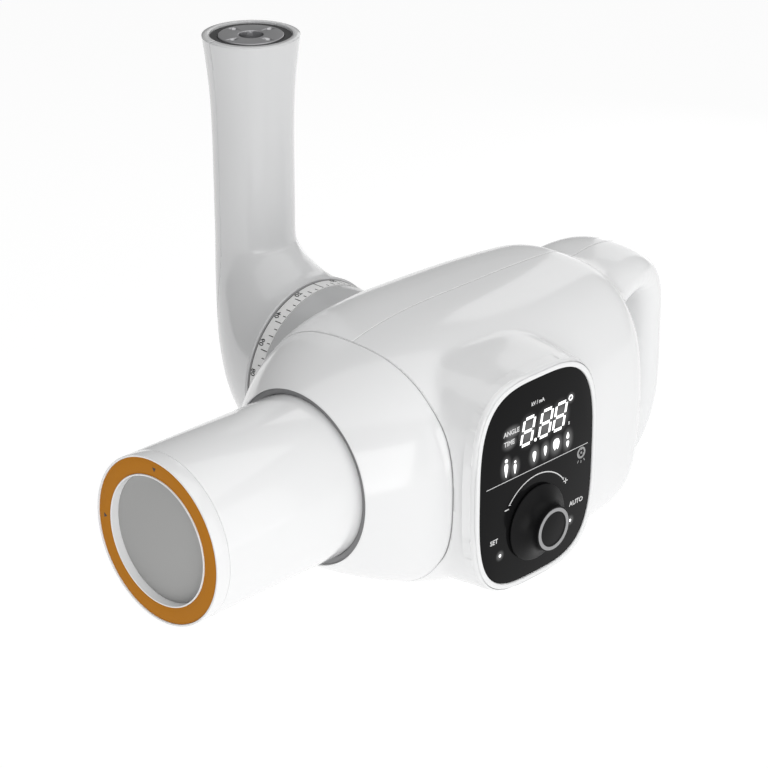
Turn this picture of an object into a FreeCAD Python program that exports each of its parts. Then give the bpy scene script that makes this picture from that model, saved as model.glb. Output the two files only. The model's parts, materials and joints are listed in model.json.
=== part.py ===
import FreeCAD, Part

import math
import os

import Sketcher
from FreeCAD import Placement, Rotation, Vector

# A wall-arm dental X-ray head with its yoke.
# +Z is up, the beam leaves along -Y, the control panel faces +X and the yoke hangs on the -X side.
# The origin is the centre of the flat face on top of the yoke, where the wall arm bolts on.
# Head coordinates, used below: x from the beam plane, y and z from the tilt axis.

document = FreeCAD.newDocument("dental_xray_head")
sheet = document.addObject("Spreadsheet::Sheet", "sheet")

SIZES = {
    "reach": 124.4, "drop": 162.0,
    # cone, measured forward from the tilt axis
    "cone_tip": 176.0, "cone_radius": 39.5, "cone_wall": 2.7, "cone_root": 88.0,
    # the root is turned down where it slides into its socket
    "cone_shoulder": 90.0, "cone_step": 1.0,
    "endring_length": 7.4, "field_radius": 30.0, "annulus_inner": 30.75, "annulus_outer": 38.5,
    "annulus_depth": 1.4, "window_depth": 4.0, "window_thick": 1.5, "window_ledge": 1.5,
    "liner_wall": 1.4, "liner_start": 96.0, "socket_bore": 33.0, "socket_back": 80.0,
    "socket_front": 89.4,
    # body shells
    "lip_front": 90.4, "lip_radius": 42.8, "lip_bore": 42.3, "nose_seam": 56.0,
    "body_half": 66.5, "body_top": 62.6, "body_bottom": 71.0, "body_rear": 101.0,
    "rear_round": 22.0, "shell": 3.0, "rear_taper": 9.5, "top_fall": 1.6,
    # how far behind the lip the body has reached its full width, height, depth and squareness
    "width_run": 80.4, "top_run": 92.0, "bottom_run": 170.0, "corner_run": 150.0,
    "taper_from": -10.0, "taper_run": 89.0, "fall_from": 40.0, "fall_run": 50.0,
    "handle_width": 34.0, "handle_thick": 20.0, "handle_back": 143.5,
    # screws that hold the two body shells together
    "post_radius": 5.5, "shank_radius": 1.95, "shank_hole": 2.0, "head_radius": 4.0,
    "head_hole": 4.3, "head_seat": -30.0, "shank_end": 18.0,
    # control panel
    "panel_centre": -13.4, "panel_face": 76.0, "panel_half_y": 41.25, "panel_half_z": 52.25,
    "panel_power": 3.4, "pocket_depth": 5.0, "ledge": 6.0, "boss_foot": 36.0,
    "bezel_width": 2.75, "glass_thick": 2.0, "board_thick": 1.6, "board_rear": 49.0,
    "knob_y": -13.6, "knob_z": -23.1, "knob_rise": 11.2, "knob_base": 18.5, "knob_top": 11.0,
    "knobring_outer": 10.4, "knobring_inner": 8.5, "knob_gap": 0.9, "stem_radius": 3.0,
    # tilt joint, measured from the beam plane towards the yoke
    "neck_radius": 43.9, "neck_start": 48.0, "band_start": 76.0, "band_end": 83.2,
    "band_radius": 44.2, "collar_bore": 38.0, "elbow_lip": 84.5, "lip_outer": 45.5,
    "tilt_radius": 10.0, "tilt_bore": 6.0, "bush_wall": 1.95, "bush_length": 7.0, "fit": 0.05,
    "nut_start": 44.0, "nut_end": 49.6, "nut_radius": 15.0, "hub_start": 50.0, "hub_step": 56.0,
    "hub_end": 74.0, "hub_radius": 19.0, "disc_start": 74.3, "disc_end": 77.0,
    "disc_radius": 26.0, "washer_end": 88.0, "washer_radius": 20.0, "flange_end": 92.0,
    "flange_outer": 38.7, "flange_neck": 16.0, "shaft_end": 110.0, "bracket_thick": 14.0,
    # yoke stem and swivel
    "stem_half": 20.0, "stem_top_half": 23.8, "yoke_wall": 3.5, "bend_height": 59.5,
    "cover_plane": 128.4, "spindle_radius": 10.0, "spindle_bore": 6.0, "flange_radius": 16.0,
    "flange_thick": 8.0, "spindle_length": 95.0, "bolt_circle": 24.0, "bolt_radius": 1.65,
    "swivel_bush": 16.25, "bench_top": -26.0, "bench_thick": 8.0, "bench_bore": 13.0,
    "lower_bush_top": -72.0, "lower_bush_end": -84.0, "cover_post": 6.0, "cover_seat": -12.0,
    "cover_head": 3.5, "seal_outer": 19.8, "seal_inner": 16.3, "seal_top": -0.6,
    "seal_bottom": -3.0,
    # oil tank and what it holds
    "tank_radius": 42.0, "tank_wall": 2.5, "tank_front": 48.0, "tank_rear": 83.0,
    "tank_end": 2.5, "tank_lid": 4.0, "port_radius": 13.0, "focus": 24.0,
    "insert_radius": 14.0, "insert_half": 36.0, "glass_wall": 1.6, "anode_radius": 9.0,
    "cathode_radius": 7.0, "core_length": 54.0, "core_depth": 22.0, "core_height": 48.0,
    "core_rear": 58.0,
}
for row, (alias, number) in enumerate(SIZES.items(), start=1):
    sheet.set(f"A{row}", alias)
    sheet.set(f"B{row}", str(number))
    sheet.setAlias(f"B{row}", alias)
document.recompute()

TURN = {
    "up": Rotation(),
    "forward": Rotation(Vector(1, 0, 0), 90),
    "right": Rotation(Vector(0, 1, 0), 90),
    "left": Rotation(Vector(0, 1, 0), -90),
}
HEAD = ("sheet.reach", "0", "-sheet.drop")
STEM = ("0", "0", "0")
parts = []


def value(name):
    """A size from the sheet."""
    return float(sheet.get(name))


def amount(expression):
    """The number that an expression on the sheet gives."""
    names = {alias: value(alias) for alias in SIZES}
    total = 0.0
    for term in expression.replace(" ", "").replace("-", "+-").split("+"):
        if not term:
            continue
        product = 1.0
        for factor in term.lstrip("-").split("*"):
            product *= names[factor[6:]] if factor.startswith("sheet.") else float(factor)
        total += -product if term.startswith("-") else product
    return total


def place(thing, base, turn="up"):
    """Turns an object to its axis and binds its place to the sheet."""
    thing.Placement = Placement(Vector(*[amount(term) for term in base]), TURN[turn])
    for letter, term in zip("xyz", base):
        thing.setExpression(f".Placement.Base.{letter}", term)


def keep(thing, label):
    """Names a finished sub-part and lists it for export."""
    thing.Label = label
    parts.append(thing)
    return thing


def closed_sketch(body, role, corners):
    """A closed outline of straight lines whose corners are expressions on the sheet."""
    sketch = body.newObject("Sketcher::SketchObject", body.Name + "_outline")
    plane = [item for item in body.Origin.OriginFeatures if item.Role == role][0]
    sketch.AttachmentSupport = [(plane, "")]
    sketch.MapMode = "FlatFace"
    points = [Vector(amount(u), amount(v), 0) for u, v in corners]
    count = len(points)
    for index in range(count):
        sketch.addGeometry(Part.LineSegment(points[index], points[(index + 1) % count]), False)
    for index in range(count):
        sketch.addConstraint(Sketcher.Constraint("Coincident", index, 2, (index + 1) % count, 1))
    for index, (u, v) in enumerate(corners):
        for kind, term, size, axis in (("DistanceX", u, points[index].x, -2),
                                       ("DistanceY", v, points[index].y, -1)):
            if abs(size) < 1e-9:
                sketch.addConstraint(Sketcher.Constraint("PointOnObject", index, 1, axis))
                continue
            number = sketch.addConstraint(Sketcher.Constraint(kind, -1, 1, index, 1, size))
            sketch.setExpression(f"Constraints[{number}]", term)
    return sketch


def turned(label, corners, base, turn):
    """A body turned about its own Z axis from a half section of (radius, height) corners."""
    body = document.addObject("PartDesign::Body", label + "_body")
    sketch = closed_sketch(body, "XZ_Plane", corners)
    spin = body.newObject("PartDesign::Revolution", label + "_turning")
    spin.Profile = sketch
    spin.ReferenceAxis = (sketch, ["V_Axis"])
    spin.Angle = 360.0
    body.Tip = spin
    place(body, base, turn)
    return keep(body, label)


def tube(label, outer, inner, start, end, base, turn):
    """A plain ring or tube; an inner radius of "0" gives a solid rod."""
    return turned(label, [(inner, start), (outer, start), (outer, end), (inner, end)], base, turn)


def block(label, size, centre, base=HEAD):
    """A box given by its size and its centre from the base point."""
    box = document.addObject("Part::Box", label + "_box")
    for name, term in zip(("Length", "Width", "Height"), size):
        box.setExpression(name, term)
    spot = [f"{b} + {c} - 0.5 * {s}" for b, c, s in zip(base, centre, size)]
    place(box, spot)
    return box


def rod(label, radius, length, base, turn):
    """A cylinder used as a tool or a simple piece."""
    cylinder = document.addObject("Part::Cylinder", label + "_rod")
    cylinder.setExpression("Radius", radius)
    cylinder.setExpression("Height", length)
    place(cylinder, base, turn)
    return cylinder


def at(x="0", y="0", z="0"):
    """A point given in head coordinates."""
    return (f"{HEAD[0]} + {x}", y, f"{HEAD[2]} + {z}")


def cut(label, base, *tools):
    """The base with every tool taken away."""
    for number, tool in enumerate(tools):
        taken = document.addObject("Part::Cut", f"{label}_cut{number}")
        taken.Base = base
        taken.Tool = tool
        base = taken
    return base


def shaped(label, shape, base=HEAD):
    """A feature for a free-form shape that is worked out below."""
    feature = document.addObject("Part::Feature", label + "_form")
    feature.Shape = shape
    place(feature, base)
    return feature


# ---------------------------------------------------------------- free-form sections of the head
def ease(fraction, power):
    """Rises from 0 to 1 and levels off."""
    fraction = min(max(fraction, 0.0), 1.0)
    return 1.0 - (1.0 - fraction) ** power


def superellipse(half_width, top, bottom, top_power, bottom_power, count=48):
    """Points (across, up) of an oval whose corners are fuller than an ellipse's."""
    points = []
    for step in range(count):
        angle = 2 * math.pi * step / count
        across, up = math.cos(angle), math.sin(angle)
        power = top_power if up > 0 else bottom_power
        height = top if up > 0 else bottom
        points.append((
            half_width * math.copysign(abs(across) ** (2 / power), across),
            height * math.copysign(abs(up) ** (2 / power), up),
        ))
    return points


def smooth_wire(points):
    """A closed smooth curve through the points."""
    curve = Part.BSplineCurve()
    curve.interpolate(Points=points, PeriodicFlag=True)
    return Part.Wire([curve.toShape()])


def body_section(y, inset=0.0):
    """The outline of the head's body at one station along the beam, pulled in by the inset."""
    lip = value("lip_radius")
    front = y + value("lip_front")
    rear = value("body_rear")
    round_radius = value("rear_round")
    half = lip + (value("body_half") - lip) * ease(front / value("width_run"), 3.0)
    half -= value("rear_taper") * (max(y - value("taper_from"), 0) / value("taper_run")) ** 2
    top = lip + (value("body_top") - lip) * ease(front / value("top_run"), 2.5)
    top -= value("top_fall") * (max(y - value("fall_from"), 0) / value("fall_run")) ** 2
    bottom = lip + (value("body_bottom") - lip) * ease(front / value("bottom_run"), 3.8)
    past = max(y + inset - (rear - round_radius), 0)
    pulled = round_radius - math.sqrt(max(round_radius ** 2 - past ** 2, 0)) + inset
    top_power = 2 + 0.6 * ease(front / value("top_run"), 3)
    bottom_power = 2 + 1.2 * ease(front / value("corner_run"), 3)
    oval = superellipse(half - pulled, top - pulled, bottom - pulled, top_power, bottom_power)
    return smooth_wire([Vector(x, y, z) for x, z in oval])


def body_solid(stations, inset=0.0):
    """The solid inside the body's outline between its first and last stations."""
    return Part.makeLoft([body_section(y, inset) for y in stations], True, False)


def handle_solid():
    """The loop behind the body: wide at its top root, an even bar down the back, a foot below."""
    half = 0.5 * value("handle_width")
    thick = 0.5 * value("handle_thick")
    back = value("handle_back")
    # y, z, heading in degrees (0 to the rear, -90 down), half width, half thickness
    stations = [
        (back - 65, 42.5, 0, half + 25, thick + 1.5), (back - 51, 45.5, -3, half + 22, thick + 2.3),
        (back - 39, 48, -7, half + 20, thick + 1), (back - 23.5, 45.8, -20, half + 13, thick + 0.3),
        (back - 10.5, 38, -42, half + 7, thick), (back - 2.5, 25.5, -68, half + 2.5, thick),
        (back, 8, -86, half, thick), (back, -22, -94, half, thick),
        (back - 3.5, -38, -112, half, thick), (back - 12.5, -51, -138, half + 0.5, thick),
        (back - 27.5, -58, -162, half + 1.5, thick), (back - 52, -59, -178, half + 3, thick),
    ]
    wires = []
    for y, z, heading, half_width, half_thick in stations:
        lean = math.radians(heading)
        points = []
        for across, up in superellipse(half_width, half_thick, half_thick, 2.6, 2.6, 32):
            points.append(Vector(across, y - up * math.sin(lean), z + up * math.cos(lean)))
        wires.append(smooth_wire(points))
    return Part.makeLoft(wires, True, False)


def panel_outline(x, offset):
    """The panel's rounded outline in the plane at x, grown by the offset."""
    power = value("panel_power")
    half_y = value("panel_half_y") + offset
    half_z = value("panel_half_z") + offset
    oval = superellipse(half_y, half_z, half_z, power, power)
    centre = value("panel_centre")
    return smooth_wire([Vector(x, centre + y, z) for y, z in oval])


def panel_plate(low, high, offset):
    """A straight-sided plate of the panel's outline between two planes."""
    return Part.makeLoft([panel_outline(low, offset), panel_outline(high, offset)], True, True)


def post_spots():
    """Where the screws that hold the two body shells stand: (y, z)."""
    return [(-38, 49), (-38, -50), (76, 49), (76, -53)]


def post(spot, radius, low, high):
    """A round post or hole along x at one screw."""
    y, z = spot
    return Part.makeCylinder(radius, high - low, Vector(low, y, z), Vector(1, 0, 0))


# ---------------------------------------------------------------- head shells
def make_shells():
    """Nose, left and right shells, and the screws that hold the halves together."""
    face = value("panel_face")
    seam = -value("nose_seam")
    lip = -value("lip_front")
    rear = value("body_rear")
    wall = value("shell")
    turn_in = rear - value("rear_round")
    rounding = [turn_in + value("rear_round") * math.sin(math.radians(angle)) for angle in
                (20, 38, 54, 68, 78, 84)]
    nose_outer = body_solid([lip, lip + 5, lip + 12, lip + 22, seam])
    nose_inner = body_solid([lip + 6, lip + 12, lip + 22, seam + 0.5], wall)
    mouth = Part.makeCylinder(value("lip_bore"), 20, Vector(0, lip - 5, 0), Vector(0, 1, 0))
    nose = shaped("nose", nose_outer.cut([nose_inner, mouth]))
    keep(nose, "nose_shell")

    outer = body_solid([seam, -40, -20, 0, 25, 50, turn_in] + rounding)
    inner = body_solid([seam - 0.5, -40, -20, 0, 25, 50, turn_in - wall, turn_in + 4, turn_in + 11],
                       wall)
    foot = value("boss_foot")
    boss = Part.makeLoft([panel_outline(foot, 5), panel_outline(foot + 12, 3.6),
                          panel_outline(foot + 24, 2.2), panel_outline(foot + 33, 0.9),
                          panel_outline(face, 0)], True, False)
    behind_seam = Part.makeBox(200, 200, 200, Vector(0, seam, -100))
    hull = outer.fuse([handle_solid(), boss.common(behind_seam)])
    spots = post_spots()
    depth = value("pocket_depth")
    cavity = inner.fuse(panel_plate(foot + 4, face - depth + 1, -value("ledge")))
    shell = hull.cut(cavity)
    seat = value("head_seat")
    reach = value("body_half")
    posts = [post(spot, value("post_radius"), -reach, reach).common(outer) for spot in spots]
    shell = shell.fuse(posts)
    pocket = panel_plate(face - depth, face + 1, -0.2)
    neck = Part.makeCylinder(value("neck_radius") + value("fit"), value("neck_start"),
                             Vector(-2 * value("neck_start"), 0, 0), Vector(1, 0, 0))
    shanks = [post(spot, value("shank_hole"), seat - 2, value("shank_end") + 2) for spot in spots]
    heads = [post(spot, value("head_hole"), -reach, seat) for spot in spots]
    shell = shell.cut([pocket, neck] + shanks + heads)
    side = Part.makeBox(200, 400, 300, Vector(0, -150, -150))
    right = shaped("right", shell.common(side))
    keep(right, "housing_right")
    left = shaped("left", shell.cut(side))
    keep(left, "housing_left")

    screws = []
    for spot in spots:
        head = post(spot, value("head_radius"), seat - value("head_radius"), seat)
        screws.append(head.fuse(post(spot, value("shank_radius"), seat, value("shank_end"))))
    keep(shaped("screws", Part.makeCompound(screws)), "housing_screws")


# ---------------------------------------------------------------- cone
def make_cone():
    """The beam cone and everything at its tip; heights run forward from the tilt axis."""
    seam = "sheet.cone_tip - sheet.endring_length"
    bore = "sheet.cone_radius - sheet.cone_wall"
    floor = "sheet.cone_tip - sheet.annulus_depth"
    seat = "sheet.cone_tip - sheet.window_depth - sheet.window_thick"
    ledge = "sheet.field_radius - sheet.window_ledge"
    snug = "sheet.lip_bore - 0.1"
    loose = "sheet.cone_radius - sheet.cone_step + 0.1"
    root = "sheet.cone_radius - sheet.cone_step"
    turned("cone_tube", [
        (bore, "sheet.cone_root"), (root, "sheet.cone_root"), (root, "sheet.cone_shoulder"),
        ("sheet.cone_radius", "sheet.cone_shoulder"), ("sheet.cone_radius", seam), (bore, seam),
    ], HEAD, "forward")
    turned("cone_end_ring", [
        (ledge, seam), ("sheet.cone_radius", seam),
        ("sheet.cone_radius", "sheet.cone_tip"), ("sheet.annulus_outer", "sheet.cone_tip"),
        ("sheet.annulus_outer", floor), ("sheet.annulus_inner", floor),
        ("sheet.annulus_inner", "sheet.cone_tip"), ("sheet.field_radius", "sheet.cone_tip"),
        ("sheet.field_radius", seat), (ledge, seat),
    ], HEAD, "forward")
    tube("aperture_ring", "sheet.annulus_outer - 0.05", "sheet.annulus_inner + 0.05", floor,
         "sheet.cone_tip - 0.5", HEAD, "forward")
    tube("cone_window", "sheet.field_radius - 0.05", "0", seat,
         "sheet.cone_tip - sheet.window_depth", HEAD, "forward")
    tube("cone_liner", bore, "sheet.cone_radius - sheet.cone_wall - sheet.liner_wall",
         "sheet.liner_start", "sheet.cone_tip - sheet.endring_length - 0.5", HEAD, "forward")
    turned("cone_socket", [
        ("sheet.socket_bore", "sheet.socket_back"), (snug, "sheet.socket_back"),
        (snug, "sheet.socket_front"), (loose, "sheet.socket_front"),
        (loose, "sheet.cone_root"), ("sheet.socket_bore", "sheet.cone_root"),
    ], HEAD, "forward")


# ---------------------------------------------------------------- oil tank
def make_tank():
    """The sealed tank that holds the X-ray tube and its transformer in oil."""
    inner = "sheet.tank_radius - sheet.tank_wall"
    port_back = "sheet.tank_front - sheet.tank_end"
    gasket = "-sheet.tank_rear - 1"
    turned("oil_tank", [
        (inner, "-sheet.tank_rear"), ("sheet.tank_radius", "-sheet.tank_rear"),
        ("sheet.tank_radius", "sheet.tank_front"), ("sheet.port_radius", "sheet.tank_front"),
        ("sheet.port_radius", port_back), (inner, port_back),
    ], HEAD, "forward")
    tube("tank_gasket", "sheet.tank_radius", "sheet.tank_radius - 5", gasket, "-sheet.tank_rear",
         HEAD, "forward")
    tube("tank_lid", "sheet.tank_radius", "0", "-sheet.tank_rear - 1 - sheet.tank_lid", gasket,
         HEAD, "forward")
    turned("expansion_bellows", [
        ("0", "-sheet.tank_rear + 7"), ("20", "-sheet.tank_rear + 7"),
        ("17", "-sheet.tank_rear + 5"), ("20", "-sheet.tank_rear + 3"),
        ("17", "-sheet.tank_rear + 1"), ("20", gasket), ("0", gasket),
    ], HEAD, "forward")
    tube("tank_window", "sheet.port_radius - 0.05", "0", port_back, "sheet.tank_front", HEAD,
         "forward")
    tube("beam_filter", "15", "0", "sheet.tank_front", "sheet.tank_front + 2", HEAD, "forward")
    tube("lead_collimator", "32", "9", "sheet.tank_front + 2", "sheet.tank_front + 6", HEAD,
         "forward")
    focus = at(y="sheet.focus")
    glass_wall = "sheet.insert_radius - sheet.glass_wall"
    far = "sheet.insert_half - sheet.glass_wall"
    near = "-sheet.insert_half + sheet.glass_wall"
    turned("tube_insert", [
        ("0", "-sheet.insert_half"), ("sheet.insert_radius", "-sheet.insert_half"),
        ("sheet.insert_radius", "sheet.insert_half"), ("0", "sheet.insert_half"),
        ("0", far), (glass_wall, far), (glass_wall, near), ("0", near),
    ], focus, "right")
    turned("anode", [("0", "-3"), ("sheet.anode_radius", "4"), ("sheet.anode_radius", far),
                     ("0", far)], focus, "right")
    turned("cathode", [("0", near), ("sheet.cathode_radius", near),
                       ("sheet.cathode_radius", "-14"), ("3", "-11"), ("0", "-11")],
           focus, "right")
    middle = ("0", "sheet.core_rear", "0")
    core = block("core", ("sheet.core_length", "sheet.core_depth", "sheet.core_height"), middle)
    windows = [block(f"window{side}", ("14", "30", "26"), (f"{side * 13}", "sheet.core_rear", "0"))
               for side in (-1, 1)]
    keep(cut("core", core, *windows), "transformer_core")
    coil = block("coil", ("34", "30", "25"), middle)
    limb = block("limb", ("12.2", "40", "30"), middle)
    keep(cut("coil", coil, limb), "high_voltage_coil")


# ---------------------------------------------------------------- tilt joint
def make_tilt_joint():
    """The horizontal bearing between yoke and head; heights run from the beam plane to -X."""
    turned("neck_collar", [
        ("sheet.collar_bore", "sheet.neck_start"), ("sheet.neck_radius", "sheet.neck_start"),
        ("sheet.neck_radius", "sheet.band_start"), ("sheet.neck_radius - 2.5", "sheet.band_start"),
        ("sheet.neck_radius - 2.5", "sheet.band_end - 0.2"),
        ("sheet.collar_bore", "sheet.band_end - 0.2"),
    ], HEAD, "left")
    tube("scale_band", "sheet.band_radius", "sheet.neck_radius - 2.45", "sheet.band_start + 0.05",
         "sheet.band_end", HEAD, "left")
    bore = "sheet.tilt_radius + sheet.bush_wall"
    rim = "sheet.collar_bore - 0.05"
    turned("tilt_hub", [
        (bore, "sheet.hub_start"), (rim, "sheet.hub_start"), (rim, "sheet.hub_step"),
        ("sheet.hub_radius", "sheet.hub_step"), ("sheet.hub_radius", "sheet.hub_end"),
        (bore, "sheet.hub_end"),
    ], HEAD, "left")
    for name, low, high in (
        ("inner", "sheet.hub_start", "sheet.hub_start + sheet.bush_length"),
        ("outer", "sheet.hub_end - sheet.bush_length", "sheet.hub_end"),
    ):
        tube(f"tilt_bush_{name}", bore, "sheet.tilt_radius + sheet.fit", low, high, HEAD, "left")
    turned("tilt_flange", [
        ("sheet.tilt_radius", "sheet.washer_end"), ("sheet.flange_outer", "sheet.washer_end"),
        ("sheet.flange_outer", "sheet.flange_end"), ("sheet.flange_neck", "sheet.flange_end"),
        ("sheet.flange_neck", "sheet.shaft_end"), ("sheet.tilt_radius", "sheet.shaft_end"),
    ], HEAD, "left")
    for name, outer, low, high in (
        ("friction_disc", "sheet.disc_radius", "sheet.disc_start", "sheet.disc_end"),
        ("spring_washers", "sheet.washer_radius", "sheet.disc_end", "sheet.washer_end"),
        ("tilt_nut", "sheet.nut_radius", "sheet.nut_start", "sheet.nut_end"),
    ):
        tube(name, outer, "sheet.tilt_radius", low, high, HEAD, "left")
    tube("tilt_shaft", "sheet.tilt_radius", "sheet.tilt_bore", "sheet.nut_start",
         "sheet.shaft_end", HEAD, "left")
    tube("lip_gasket", "sheet.lip_outer - 1", "sheet.collar_bore + 1", "sheet.band_end + 0.4",
         "sheet.elbow_lip", HEAD, "left")
    saddle = block("saddle", ("sheet.bracket_thick", "60", "56"),
                   ("-sheet.neck_start + 0.5 * sheet.bracket_thick", "0", "0"))
    tank = rod("saddle_tank", "sheet.tank_radius + 0.05", "120", at(y="-60"), "up")
    tank.Placement = Placement(tank.Placement.Base, Rotation(Vector(1, 0, 0), -90))
    hole = rod("saddle_hole", "17", "40", at(x="-20"), "left")
    keep(cut("saddle", saddle, tank, hole), "tank_bracket")


# ---------------------------------------------------------------- yoke
def yoke_sections(inset):
    """Ellipses up the yoke: around the elbow in planes that fan about the bend, then the stem."""
    pivot_x = value("reach") - value("elbow_lip")
    pivot_z = value("bend_height") - value("drop")
    lip = value("lip_outer")
    bend = value("bend_height")
    stem = value("stem_half")
    inside = pivot_x - stem
    # turn of the plane, near side and far side from the pivot, half width across
    fan = [
        (90, bend - lip, bend + lip, lip), (78, 13.9, 99.8, 41), (66, 13.8, 91.8, 36),
        (52, 13.7, 80.7, 30.4), (38, 14.3, 71.0, 25.8), (24, 16, 65.0, 22.1),
        (11, 18.4, 61.3, 20.4), (0, inside, inside + 2 * stem, stem),
    ]
    sections = []
    for turn, near, far, across in fan:
        angle = math.radians(turn)
        away = Vector(-math.cos(angle), 0, -math.sin(angle))
        centre = Vector(pivot_x, 0, pivot_z) + away * (0.5 * (near + far))
        sections.append(ellipse_points(centre, away, 0.5 * (far - near) - inset, across - inset))
    top = value("stem_top_half")
    for height, radius in ((-88, stem), (-72, stem), (-55, stem + 0.05), (-38, stem + 0.35),
                           (-24, stem + 1.1), (-11, stem + 2.4), (0, top)):
        sections.append(ellipse_points(Vector(0, 0, height), Vector(-1, 0, 0), radius - inset,
                                       radius - inset))
    return sections


def ellipse_points(centre, along, half_along, half_across, count=32):
    """Points round an ellipse with one axis along a direction and the other along y."""
    points = []
    for step in range(count + 1):
        angle = 2 * math.pi * step / count
        points.append(centre + along * (half_along * math.cos(angle))
                      + Vector(0, half_across * math.sin(angle), 0))
    return points


def skinned(sections):
    """A solid under one smooth skin laid over sections, with flat ends."""
    middle = len(sections[0]) // 2
    faces = []
    for low, high in ((0, middle), (middle, 2 * middle)):
        skin = Part.BSplineSurface()
        skin.interpolate([section[low:high + 1] for section in sections])
        faces.append(skin.toShape())
    for end in (sections[0], sections[-1]):
        rims = [edge for face in faces for edge in face.Edges
                if all((vertex.Point - end[0]).Length < 1e-4
                       or (vertex.Point - end[middle]).Length < 1e-4
                       for vertex in edge.Vertexes)]
        faces.append(Part.Face(Part.Wire(rims)))
    shell = Part.makeShell(faces)
    shell.sewShape()
    solid = Part.Solid(Part.Shell(shell.Faces))
    if solid.Volume < 0:
        solid.reverse()
    return solid


def make_yoke():
    """The inner casting with its elbow, the outer cover, and the screws between them."""
    outer = skinned(yoke_sections(0))
    inner = skinned(yoke_sections(value("yoke_wall")))
    up = Vector(0, 0, 1)
    right = Vector(1, 0, 0)
    split = value("reach") - value("cover_plane")
    # what stays inside the hollow: a bench under the upper bush and two posts for the screws
    bench_top = value("bench_top")
    thick = value("bench_thick")
    bench = Part.makeCylinder(value("stem_half"), thick, Vector(0, 0, bench_top - thick), up)
    spots = (-103.0, -119.0)
    seat = value("cover_seat")
    wide = value("cover_post")
    posts = [Part.makeCylinder(wide, 60, Vector(-30, 0, height), right) for height in spots]
    hollow = inner.cut([bench] + posts)
    mouth = Part.makeCylinder(value("flange_radius") + 0.4, -bench_top, Vector(0, 0, bench_top), up)
    way = Part.makeCylinder(value("bench_bore"), -bench_top + 2 * thick,
                            Vector(0, 0, bench_top - 2 * thick), up)
    holes = [Part.makeCylinder(value("shank_hole"), 22, Vector(seat - 1, 0, height), right)
             for height in spots]
    heads = [Part.makeCylinder(value("head_hole"), 60, Vector(seat - 60, 0, height), right)
             for height in spots]
    shell = outer.cut(hollow).cut([mouth, way] + holes)
    beyond = Part.makeBox(80, 200, 400, Vector(split - 80, -100, -350))
    keep(shaped("yoke_casting", shell.cut(beyond), STEM), "yoke_arm")
    keep(shaped("yoke_lid", shell.common(beyond).cut(heads), STEM), "yoke_cover")
    solids = []
    for height in spots:
        shank = Part.makeCylinder(value("shank_radius"), 20, Vector(seat, 0, height), right)
        thick = value("cover_head")
        head = Part.makeCylinder(value("head_radius"), thick, Vector(seat - thick, 0, height), right)
        solids.append(head.fuse(shank))
    keep(shaped("cover_screw_set", Part.makeCompound(solids), STEM), "cover_screws")


def make_swivel():
    """The hollow spindle that bolts to the wall arm, and what carries the yoke on it."""
    body = document.addObject("PartDesign::Body", "swivel_spindle_body")
    end = "-sheet.spindle_length"
    sketch = closed_sketch(body, "XZ_Plane", [
        ("sheet.spindle_bore", "0"), ("sheet.flange_radius", "0"),
        ("sheet.flange_radius", "-sheet.flange_thick"),
        ("sheet.spindle_radius", "-sheet.flange_thick"), ("sheet.spindle_radius", end),
        ("sheet.spindle_bore", end),
    ])
    spin = body.newObject("PartDesign::Revolution", "spindle_turning")
    spin.Profile = sketch
    spin.ReferenceAxis = (sketch, ["V_Axis"])
    spin.Angle = 360.0
    document.recompute()
    whole = spin.Shape.Volume
    drill = body.newObject("Sketcher::SketchObject", "spindle_drill")
    plane = [item for item in body.Origin.OriginFeatures if item.Role == "XY_Plane"][0]
    drill.AttachmentSupport = [(plane, "")]
    drill.MapMode = "FlatFace"
    spot = Vector(0.5 * value("bolt_circle"), 0, 0)
    drill.addGeometry(Part.Circle(spot, Vector(0, 0, 1), value("bolt_radius")), False)
    drill.addConstraint(Sketcher.Constraint("PointOnObject", 0, 3, -1))
    reach = drill.addConstraint(Sketcher.Constraint("DistanceX", -1, 1, 0, 3, spot.x))
    drill.setExpression(f"Constraints[{reach}]", "0.5 * sheet.bolt_circle")
    wide = drill.addConstraint(Sketcher.Constraint("Radius", 0, value("bolt_radius")))
    drill.setExpression(f"Constraints[{wide}]", "sheet.bolt_radius")
    pocket = body.newObject("PartDesign::Pocket", "spindle_hole")
    pocket.Profile = drill
    pocket.setExpression("Length", "sheet.flange_thick")
    document.recompute()
    holes = body.newObject("PartDesign::PolarPattern", "spindle_holes")
    holes.Originals = [pocket]
    holes.Axis = (drill, ["N_Axis"])
    holes.Angle = 360.0
    holes.Occurrences = 4
    body.Tip = holes
    document.recompute()
    removed = whole - body.Shape.Volume
    expected = 4 * math.pi * value("bolt_radius") ** 2 * value("flange_thick")
    if abs(removed - expected) > 0.02 * expected:
        raise ValueError(f"the four bolt holes took {removed:.1f} mm3, not {expected:.1f}")
    place(body, STEM, "up")
    keep(body, "swivel_spindle")
    for name, top, bottom in (
        ("upper", "-sheet.flange_thick - 0.3", "sheet.bench_top + 0.1"),
        ("lower", "sheet.lower_bush_top", "sheet.lower_bush_end"),
    ):
        tube(f"swivel_bush_{name}", "sheet.swivel_bush", "sheet.spindle_radius + sheet.fit",
             bottom, top, STEM, "up")
    tube("spindle_nut", "14.5", "sheet.spindle_radius", end, "sheet.lower_bush_end - 0.4",
         STEM, "up")
    tube("swivel_seal", "sheet.seal_outer", "sheet.seal_inner", "sheet.seal_bottom",
         "sheet.seal_top", STEM, "up")


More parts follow.
